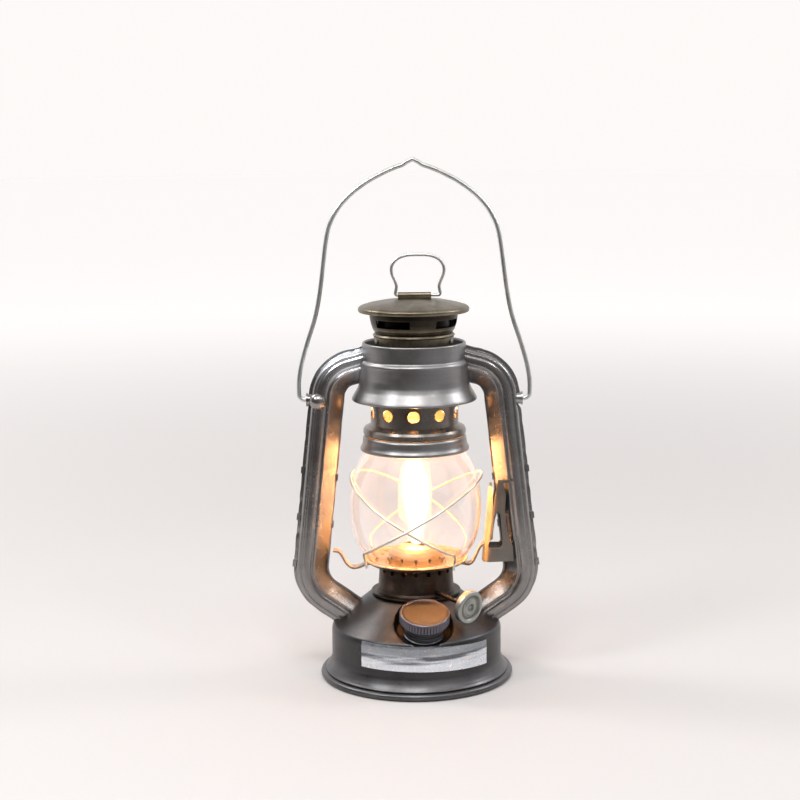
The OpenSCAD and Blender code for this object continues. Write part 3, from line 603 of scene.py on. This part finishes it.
def glass():
    m = Nodes("blown_glass")
    m.set(Base_Color=(0.985, 0.985, 0.98, 1), Roughness=0.02, Normal=m.bump(m.noise(55.0, 2), 0.00035, 0.35))
    m.bsdf.inputs["Transmission Weight"].default_value = 1.0
    m.bsdf.inputs["IOR"].default_value = 1.45
    haze, film = m.add("ShaderNodeBsdfTranslucent"), m.add("ShaderNodeMixShader")
    m.link(m.mix(m.noise(60.0, 4), (0.85, 0.70, 0.62), (0.95, 0.84, 0.77)), haze.inputs[0])
    m.link(m.span(m.noise(90.0, 5, 0.6), 0.35, 0.7, 0.0018, 0.0045), film.inputs[0])
    m.link(m.bsdf.outputs[0], film.inputs[1])
    m.link(haze.outputs[0], film.inputs[2])
    clear = m.add("ShaderNodeBsdfTransparent")
    clear.inputs[0].default_value = (0.97, 0.97, 0.965, 1)
    mixer = m.add("ShaderNodeMixShader")
    path = m.add("ShaderNodeLightPath")
    lamp = m.math("MAXIMUM", path.outputs["Is Shadow Ray"], path.outputs["Is Diffuse Ray"])
    m.link(lamp, mixer.inputs[0])
    m.link(film.outputs[0], mixer.inputs[1])
    m.link(clear.outputs[0], mixer.inputs[2])
    m.link(mixer.outputs[0], m.out.inputs[0])
    path_in = offset(glass_line, 1.0)
    loop = fillet(glass_line + path_in[::-1], 0.3, closed=True, n=3, sharper_than=50)

    def blown(p, r, z, a):
        return p + Vector((p.x, p.y, 0)).normalized() * min(0.0, wobble(p, 26.0, 0.12, 9.0) - 0.04)

    lathe("globe_blown", loop, m.mat, "globe_carriage", "globe_glass", ("globe",), seg=224, change=blown,
          angle=60)


glass()


def guard(name, high, gap, node):
    """A guard wire rises on one side of the globe and hooks under the plate's rim on the other."""
    reach, foot = 144, []
    for out, z in ((gap + 0.2, 57.2), (gap - 0.2, PLATE_Z + 1.6), (gap - 0.5, PLATE_Z - 0.3)):
        foot.append((PLATE_R + out, z))

    def turn(u, r, z):
        a = math.radians(high + u)
        return (r * math.cos(a), r * math.sin(a), z)

    middle = []
    for u in range(-reach, reach + 1, 6):
        z = 76 + 19 * math.cos(math.radians(u))
        middle.append(turn(u, glass_radius(z) + gap, z))
    pts = [turn(-reach - 4, r, z) for r, z in foot[::-1]] + middle + [turn(reach + 4, r, z) for r, z in foot]
    pts = catmull(pts, 4)
    wire(name, pts, 0.58, MAT["wire"], "globe_carriage", "wire_steel", (node,),
         side=lambda p: Vector((p.x, p.y, 0.01)).normalized(), n=14)


guard("guard_wire_left", 166, 1.0, "guard_left")
guard("guard_wire_right", -2, 2.4, "guard_right")


# ---------------------------------------------------------------- air tubes

HOOD_END, HOOD_DIR, TANK_END, TANK_DIR = Vector((24.5, 145.2)), -15.0, Vector((31.05, 30.5)), -145.0
SIDE_POINT, SIDE_DIR = Vector((44.9, 82.0)), 6.1 - 90
HOOD_R, HOOD_NECK_R, STEP_Z, TOP_Z, SKIRT_R, SKIRT_Z, GUIDE_Z = 24.85, 23.65, 147.4, 156.1, 28.7, 129.5, 152.4
HALF, EDGE, TOP_BEND, LOW_BEND, TORN_AT, TORN_REACH = 5.5, 7.0, 14.0, 16.4, 30.2, 3.2


def crossing(p, a, q, b):
    u, v, w = heading(a), heading(b), q - p
    return p + u * ((w.x * v.y - w.y * v.x) / (u.x * v.y - u.y * v.x))


def tube_line():
    """Stations down the tube: place, direction angle and distance from the hood end."""
    out = []
    top = crossing(HOOD_END, HOOD_DIR, SIDE_POINT, SIDE_DIR)
    low = crossing(TANK_END, TANK_DIR, SIDE_POINT, SIDE_DIR)
    cut1 = TOP_BEND * math.tan(math.radians((HOOD_DIR - SIDE_DIR) / 2))
    cut2 = LOW_BEND * math.tan(math.radians((SIDE_DIR - TANK_DIR) / 2))
    a, b = top - heading(HOOD_DIR) * cut1, top + heading(SIDE_DIR) * cut1
    c, d = low - heading(SIDE_DIR) * cut2, low + heading(TANK_DIR) * cut2
    first, end = HOOD_END - heading(HOOD_DIR) * 3.6, TANK_END + heading(TANK_DIR) * 2.0

    def line(p, q, angle, n):
        return [(p.lerp(q, i / n), angle) for i in range(n)]

    def bend(start, a0, a1, r, n):
        centre = start - heading(a0 + 90) * r
        return [(centre + heading(a0 + (a1 - a0) * i / n + 90) * r, a0 + (a1 - a0) * i / n) for i in range(n)]

    pts = line(first, a, HOOD_DIR, 8) + bend(a, HOOD_DIR, SIDE_DIR, TOP_BEND, 28) + line(b, c, SIDE_DIR, 74)
    pts += bend(c, SIDE_DIR, TANK_DIR, LOW_BEND, 28) + line(d, end, TANK_DIR, 6) + [(end, TANK_DIR)]
    run = 0.0
    for i, (p, angle) in enumerate(pts):
        run += (p - pts[i - 1][0]).length if i else 0.0
        out.append((p, angle, run))
    return out


def tube_section():
    """A pressed tube's outside: a slanted face towards the globe, two creases, a flat bead and a rib."""
    half = [(-EDGE - 0.85, 0.06), (-EDGE - 0.85, 0.5), (-EDGE, 0.5), (-EDGE, 0.9), (-6.5, 1.6), (-4.0, 3.45),
            (-1.3, HALF - 0.15), (-0.75, HALF - 0.1), (-0.25, HALF - 0.65),
            (0.15, HALF - 0.7), (0.9, HALF - 0.15), (2.3, HALF), (3.7, HALF - 0.15), (4.5, HALF - 0.7),
            (4.9, HALF - 0.75), (5.5, HALF - 0.6), (6.2, HALF - 1), (6.8, HALF - 2), (EDGE, HALF - 3.2),
            (EDGE, 0.5), (EDGE + 1.7, 0.5), (EDGE + 1.7, 0.06)]
    half = fillet(half, 0.6, n=3, sharper_than=2)
    return half + [(EDGE + 1.35, 0.0)] + [(u, -v) for u, v in half[::-1]] + [(-EDGE - 0.55, 0.0)]


def tube(name, side, nodes, seed):
    section, stations = tube_section(), []
    for p, angle, run in tube_line():
        left = heading(angle + 90)
        ring = []
        for u, v in section:
            flange = max(0.0, abs(u) - EDGE)
            torn = max(0.0, 1 - abs(run - TORN_AT) / TORN_REACH) if side > 0 and u > 5 else 0.0
            if u > EDGE:   # the outer seam is folded over and nipped every few millimetres
                nip = max(0.0, math.sin(run * 0.42 + seed)) ** 6
                u -= flange * (0.10 * nip + 0.08 + wobble((run, seed, 0), 6.0, 0.14))
                v *= 1.0 + 0.25 * (1 - nip)
            elif u < -EDGE:
                u += flange * (0.1 + wobble((run, seed, 4), 7.0, 0.2))
            u -= torn * max(0.0, u - 6) * 0.75
            v += wobble((run, u * 0.3, seed), 16.0, 0.07) * (1 if v > 0 else -1) * (0 if abs(v) < 0.6 else 1)
            q = p + left * u
            if q.y > SKIRT_Z + 4:   # the end stops inside the hood's sheet
                wall_r = HOOD_NECK_R if q.y > STEP_Z + 0.6 else HOOD_R + max(0.0, 139.6 - q.y) * 0.16
                q.x = max(q.x, math.sqrt((wall_r - 0.3) ** 2 - v * v))
            ring.append((side * q.x, -v, q.y))
        stations.append(ring)
    return sweep(name, stations, MAT["tube"], "frame", "tube_steel", nodes)


tube("air_tube_left", -1, ("left_tube_front", "left_tube_rear"), 1.0)
tube("air_tube_right", 1, ("right_tube_front", "right_tube_rear"), 4.0)


# ---------------------------------------------------------------- hood and chimney

def spun_wobble(size, amount, seed):
    def change(p, r, z, a):
        return p + Vector((p.x, p.y, 0)).normalized() * wobble(p, size, amount, seed)
    return change


hood = [(SKIRT_R - 0.9, SKIRT_Z + 0.15), (SKIRT_R - 0.35, SKIRT_Z), (SKIRT_R - 0.02, SKIRT_Z + 0.5),
        (SKIRT_R - 0.35, SKIRT_Z + 1.4), (27.3, SKIRT_Z + 3.2), (26.0, SKIRT_Z + 5.4), (25.2, SKIRT_Z + 7.6),
        (HOOD_R, 139.6), (HOOD_R, STEP_Z - 2.0), (HOOD_R + 0.12, STEP_Z - 1.0), (HOOD_R - 0.25, STEP_Z - 0.1),
        (HOOD_NECK_R, STEP_Z + 0.7), (HOOD_NECK_R, TOP_Z - 1.2), (HOOD_NECK_R - 0.15, TOP_Z - 0.4),
        (HOOD_NECK_R - 0.7, TOP_Z), (HOOD_NECK_R - 1.3, TOP_Z - 0.45), (HOOD_NECK_R - 1.5, GUIDE_Z + 0.7)]
lathe("hood_spun", sheet(hood, 0.5, 0.7), MAT["hood"], "frame", "hood_steel", ("hood",), seg=256,
      change=spun_wobble(15.0, 0.10, 2.0))

cup = [(24.3, 106.25), (24.95, 106.5), (24.95, 107.5), (24.2, 108.8), (23.85, 110.0), (23.7, 112.3),
       (23.0, 113.3), (20.6, 113.4), (20.6, 111.8)]
lathe("globe_cup_spun", sheet(cup, 0.55, 0.5), MAT["hood"], "chimney", "hood_steel", ("globe_cup",), seg=224)

CAP_TOP, DOME_R = 175.7, 25.35
dome = [(0.0, CAP_TOP), (8, CAP_TOP - 0.28), (15, CAP_TOP - 1.1), (20.5, CAP_TOP - 2.2),
        (DOME_R - 1.2, CAP_TOP - 3.3), (DOME_R - 0.15, CAP_TOP - 4.1), (DOME_R, CAP_TOP - 5.0),
        (DOME_R - 0.3, CAP_TOP - 5.9), (DOME_R - 1.1, CAP_TOP - 6.05)]
lathe("chimney_dome", sheet(dome, -0.6, 0.7), MAT["bronze"], "chimney", "heat_bronze", ("chimney_cap",),
      seg=256, change=lambda p, r, z, a: p + Vector((0, 0, wobble(p, 13.0, 0.12, 6.0) * min(1, r / 8))))


# ---------------------------------------------------------------- bail and ring

def mirrored(half):
    return [(x, 0, z) for x, z in half] + [(-x, 0, z) for x, z in half[::-1] if x > 0]


RING_Z, RING_SHIFT, PIVOT = 177.1, 2.0, 129.5
bow = catmull([(10.2, RING_Z + 1.1), (9.7, RING_Z + 3.4), (9.8, RING_Z + 4.8), (10.6, RING_Z + 7),
               (11.6, RING_Z + 9.4), (11.9, RING_Z + 12), (10.9, RING_Z + 14.8), (8.6, RING_Z + 16.9),
               (4.8, RING_Z + 18.1), (0, RING_Z + 18.35)], 6)
half = [(0.4, RING_Z), (4.0, RING_Z), (7.8, RING_Z)] + arc(9.1, RING_Z + 1.1, 1.1, -90, -15, 7) + bow[1:]
ring_pts = [(x + RING_SHIFT, y, z) for x, y, z in mirrored(half)]
wire("carry_ring_wire", ring_pts, 0.74, MAT["wire"], "ring", "wire_steel", ("carry_ring",), n=18)

bow = catmull([(52.7, PIVOT + 3.4), (52.5, 139), (51, 147), (48, 157.2), (45.4, 165), (43.4, 173),
               (41.9, 182), (40.6, 192), (39.4, 201), (37.9, 208), (35.2, 214), (31.4, 219.3),
               (26.6, 223.9), (20.6, 228.2), (13.6, 232), (7.6, 234.6), (4.6, 235.6), (2.4, 237),
               (0, 238.15)], 6)
half = [(45.2, PIVOT), (47.5, PIVOT), (49.6, PIVOT)] + arc(50.1, PIVOT + 2.6, 2.6, -90, -15, 8) + bow
wire("bail_wire", mirrored(half), 1.04, MAT["wire"], "bail_handle", "wire_steel", ("bail",), n=18)


# ---------------------------------------------------------------- CAD nodes that keep their shape

KEPT = {
    "cap_gasket": ("gasket", 0.0), "burner_collar": ("burner", 0.0), "burner_body": ("burner", 0.0),
    "burner_cone": ("plate", 0.0), "wick_tube": ("brass", 0.0), "wick": ("wick", 0.0),
    "wick_shaft": ("recess", 0.0), "spur_wheels": ("brass", 0.0), "globe_plate": ("plate", 0.0),
    "plate_arms": ("plate", 0.14),
    "globe_lifter": ("lifter", 0.16), "left_bail_ear": ("tube", 0.2), "right_bail_ear": ("zinc", 0.2),
    "tube_crimps": ("tube", 0.12), "hood_top": ("bronze", 0.0), "chimney_sleeve": ("sleeve", 0.0),
    "draught_collar": ("collar", 0.0), "vent_basket": ("basket", 0.0), "sleeve_rivets": ("zinc", 0.15),
    "ring_clip": ("bronze", 0.12),
}


def cotton():
    m = Nodes("wick_cotton_weave")
    x, y, z = m.split(m.coord)

    def wave(scale, value):
        return m.math("SINE", m.math("MULTIPLY", value, scale))

    weave = m.math("MULTIPLY", wave(4200.0, z), wave(4200.0, m.math("ADD", x, y)))
    scorch = m.span(z, 0.0565, 0.0605, 0.0, 1.0, smooth=True)
    colour = m.mix(m.span(weave, -1, 1), (0.62, 0.54, 0.42), (0.8, 0.73, 0.6))
    m.set(Base_Color=m.mix(scorch, colour, (0.03, 0.022, 0.018)), Roughness=0.9,
          Normal=m.bump(weave, 0.0001, 0.8))
    return m.mat


def cork():
    m = Nodes("cork_gasket")
    m.set(Base_Color=m.ramp(m.noise(900.0, 4), (0.35, (0.05, 0.035, 0.025)), (0.7, (0.16, 0.11, 0.075))),
          Roughness=0.85, Normal=m.bump(m.noise(1500.0, 3), 0.0001, 0.6))
    return m.mat


MAT["wick"], MAT["gasket"] = cotton(), cork()
for node, (key, bevel) in KEPT.items():
    o = NODES[node]
    o.data.materials.clear()
    o.data.materials.append(MAT[key])
    shade(o.data, 32)
    if bevel:
        mod = o.modifiers.new("soft_edges", "BEVEL")
        mod.width, mod.segments, mod.limit_method, mod.angle_limit = bevel * MM, 2, "ANGLE", math.radians(40)


# ---------------------------------------------------------------- flame

def flame():
    m = Nodes("flame_glow")
    m.tree.nodes.remove(m.bsdf)
    z = m.split(m.coord)[2]
    height = m.span(z, 0.060, 0.107)
    facing = m.add("ShaderNodeLayerWeight")
    facing.inputs[0].default_value = 0.35
    edge = m.span(facing.outputs["Facing"], 0.05, 0.7, smooth=True)
    colour = m.mix(m.math("MAXIMUM", edge, m.span(height, 0.7, 1.0)), (1.0, 0.92, 0.74), (1.0, 0.66, 0.30))
    glow = m.add("ShaderNodeEmission")
    m.link(colour, glow.inputs[0])
    glow.inputs[1].default_value = 2.1
    clear = m.add("ShaderNodeBsdfTransparent")
    mixer = m.add("ShaderNodeMixShader")
    thin, tip = m.span(facing.outputs["Facing"], 0.05, 0.75), m.span(height, 0.75, 1.0, 0.0, 0.9)
    m.link(m.math("MAXIMUM", thin, tip), mixer.inputs[0])
    m.link(glow.outputs[0], mixer.inputs[1])
    m.link(clear.outputs[0], mixer.inputs[2])
    m.link(mixer.outputs[0], m.out.inputs[0])
    profile = catmull([(0.0, 61.4), (2.4, 61.8), (3.0, 65), (4.2, 70), (6.2, 76), (7.6, 83), (7.7, 89),
                       (6.4, 95.5), (3.8, 101.5), (1.6, 105.5), (0.0, 107)], 6)
    turn = Matrix.Rotation(math.radians(-SHAFT_TURN), 4, "Z")

    def lick(p, r, z, a):
        up = (z - 61) / 44
        q = turn @ Vector((p.x * (1.15 - 0.2 * up), p.y * (0.7 + 0.25 * up), p.z))
        return q + Vector((0.5 * math.sin(up * 5), 0.3 * math.sin(up * 4 + 1), 0))

    lathe("flame", profile, m.mat, "frame", seg=64, change=lick, angle=80)


flame()


# ---------------------------------------------------------------- floor, light and camera

def ground():
    """A pale round floor whose far part is lit, so that it stays even beyond the lamps' reach."""
    mesh = bpy.data.meshes.new("floor")
    bm = bmesh.new()
    bmesh.ops.create_circle(bm, cap_ends=True, segments=96, radius=4.0)
    bm.to_mesh(mesh)
    bm.free()
    obj = bpy.data.objects.new("floor", mesh)
    obj.location = (0, 3.72, 0)
    m = Nodes("floor_pale")
    paper = m.mix(m.noise(3.0, 2), (0.575, 0.55, 0.542), (0.595, 0.57, 0.562))
    x, y, z = m.split(m.add("ShaderNodeNewGeometry").outputs["Position"])
    far = m.span(m.vec("LENGTH", m.join(x, y, 0.0)), 0.25, 1.7, smooth=True)
    m.set(Base_Color=m.mix(far, paper, (0.95, 0.935, 0.93)), Roughness=0.75, Specular_IOR_Level=0.15,
          Emission_Color=m.mix(far, (0.0, 0.0, 0.0), (0.25, 0.24, 0.235)), Emission_Strength=1.0)
    mesh.materials.append(m.mat)
    bpy.context.scene.collection.objects.link(obj)


def lamp(name, kind, where, target, power, colour=(1, 1, 1), size=0.5, size_y=None):
    data = bpy.data.lights.new(name, kind)
    data.energy, data.color = power, colour
    if kind == "AREA":
        data.shape = "RECTANGLE" if size_y else "DISK"
        data.size = size
        if size_y:
            data.size_y = size_y
    else:
        data.shadow_soft_size = size
    obj = bpy.data.objects.new(name, data)
    obj.location = where
    if target is not None:
        obj.rotation_mode = "QUATERNION"
        obj.rotation_quaternion = (Vector(target) - Vector(where)).to_track_quat("-Z", "Y")
    bpy.context.scene.collection.objects.link(obj)
    return obj


def spared(name, *objects):
    """A light's receivers: everything but the objects named."""
    kept_off = bpy.data.collections.new(name)
    for shaded in objects:
        kept_off.objects.link(bpy.data.objects[shaded])
    for shaded in kept_off.collection_objects:
        shaded.light_linking.link_state = "EXCLUDE"
    return kept_off


def sky():
    """Soft surroundings: white behind and above, grey overhead; in front, dark left to mid grey right."""
    world = bpy.data.worlds.new("studio")
    bpy.context.scene.world = world
    world.use_nodes = True
    t = world.node_tree
    t.nodes.clear()

    def add(kind):
        return t.nodes.new(kind)

    coord = add("ShaderNodeTexCoord")
    xyz = add("ShaderNodeSeparateXYZ")
    t.links.new(coord.outputs["Generated"], xyz.inputs[0])

    def span(socket, a, b, to_a, to_b):
        n = add("ShaderNodeMapRange")
        n.interpolation_type = "SMOOTHSTEP"
        t.links.new(socket, n.inputs[0])
        for k, v in zip((1, 2, 3, 4), (a, b, to_a, to_b)):
            n.inputs[k].default_value = v
        return n.outputs[0]

    def mix(fac, a, b):
        n = add("ShaderNodeMix")
        n.data_type = "RGBA"
        t.links.new(fac, n.inputs[0])
        for s, v in ((n.inputs[6], a), (n.inputs[7], b)):
            if isinstance(v, bpy.types.NodeSocket):
                t.links.new(v, s)
            else:
                s.default_value = (*v, 1)
        return n.outputs[2]

    front = mix(span(xyz.outputs[0], -0.25, 0.5, 0, 1), (0.05, 0.040, 0.037), (0.30, 0.30, 0.305))
    around = mix(span(xyz.outputs[1], -0.15, 0.45, 0, 1), front, (0.95, 0.93, 0.93))
    above = mix(span(xyz.outputs[2], 0.35, 0.75, 0, 1), around, (0.95, 0.94, 0.935))
    above = mix(span(xyz.outputs[2], 0.86, 0.98, 0, 1), above, (0.55, 0.54, 0.54))
    seen = add("ShaderNodeBackground")
    seen.inputs[0].default_value = (0.98, 0.956, 0.94, 1)
    seen.inputs[1].default_value = 1.0
    light = add("ShaderNodeBackground")
    t.links.new(above, light.inputs[0])
    light.inputs[1].default_value = 1.0
    path, mixer, out = add("ShaderNodeLightPath"), add("ShaderNodeMixShader"), add("ShaderNodeOutputWorld")
    t.links.new(path.outputs["Is Camera Ray"], mixer.inputs[0])
    t.links.new(light.outputs[0], mixer.inputs[1])
    t.links.new(seen.outputs[0], mixer.inputs[2])
    t.links.new(mixer.outputs[0], out.inputs[0])


def camera():
    data = bpy.data.cameras.new("camera")
    obj = bpy.data.objects.new("camera", data)
    bpy.context.scene.collection.objects.link(obj)
    pitch, roll, yaw = math.radians(9.04), math.radians(-0.59), math.radians(-0.47)
    fwd = Vector((math.sin(yaw) * math.cos(pitch), math.cos(yaw) * math.cos(pitch), -math.sin(pitch)))
    right = Vector((math.cos(yaw), -math.sin(yaw), 0))
    up = right.cross(fwd)
    x = right * math.cos(roll) + up * math.sin(roll)
    y = up * math.cos(roll) - right * math.sin(roll)
    obj.matrix_world = basis(x, y, -fwd, Vector((0, -0.8, 0.2563)))
    data.sensor_width, data.lens = 36, 79.74
    data.clip_start, data.clip_end = 0.01, 20
    bpy.context.scene.camera = obj


ground()
sky()
no_lamps = spared("not_lit_by_the_lamps", "globe_blown")
no_flame = spared("not_lit_by_the_flame", "floor", "filler_cap_knurled")
for name, where, target, power, colour, size in (
        ("overhead", (-0.04, -0.6, 0.9), (0, 0, 0.08), 4.2, (1, 0.99, 0.98), (0.46, 0.3)),
        ("key_left", (-0.54, -0.44, 0.70), (0, 0, 0.06), 2.2, (0.98, 0.99, 1), (0.24,)),
        ("key_right", (0.52, -0.5, 0.70), (0, 0, 0.06), 0.7, (1, 0.99, 0.98), (0.12,)),
        ("rim_left", (-0.7, 0.25, 0.75), (0, 0, 0.12), 3.0, (1, 0.99, 0.98), (0.2, 0.3)),
        ("rim_right", (0.75, 0.1, 0.6), (0, 0, 0.1), 2.0, (0.98, 0.99, 1), (0.2, 0.3))):
    lamp(name, "AREA", where, target, power, colour, *size).light_linking.receiver_collection = no_lamps
for height, power in ((0.072, 1.35), (0.098, 1.9)):
    glow = lamp("flame_light", "POINT", (0, 0, height), None, power, (1.0, 0.42, 0.11), 0.008)
    glow.light_linking.receiver_collection = no_flame
    glow.visible_camera = glow.visible_transmission = False
bpy.data.objects["flame"].light_linking.receiver_collection = no_flame
camera()
bpy.context.scene.view_settings.view_transform = "Standard"
bpy.context.scene.view_settings.look = "None"
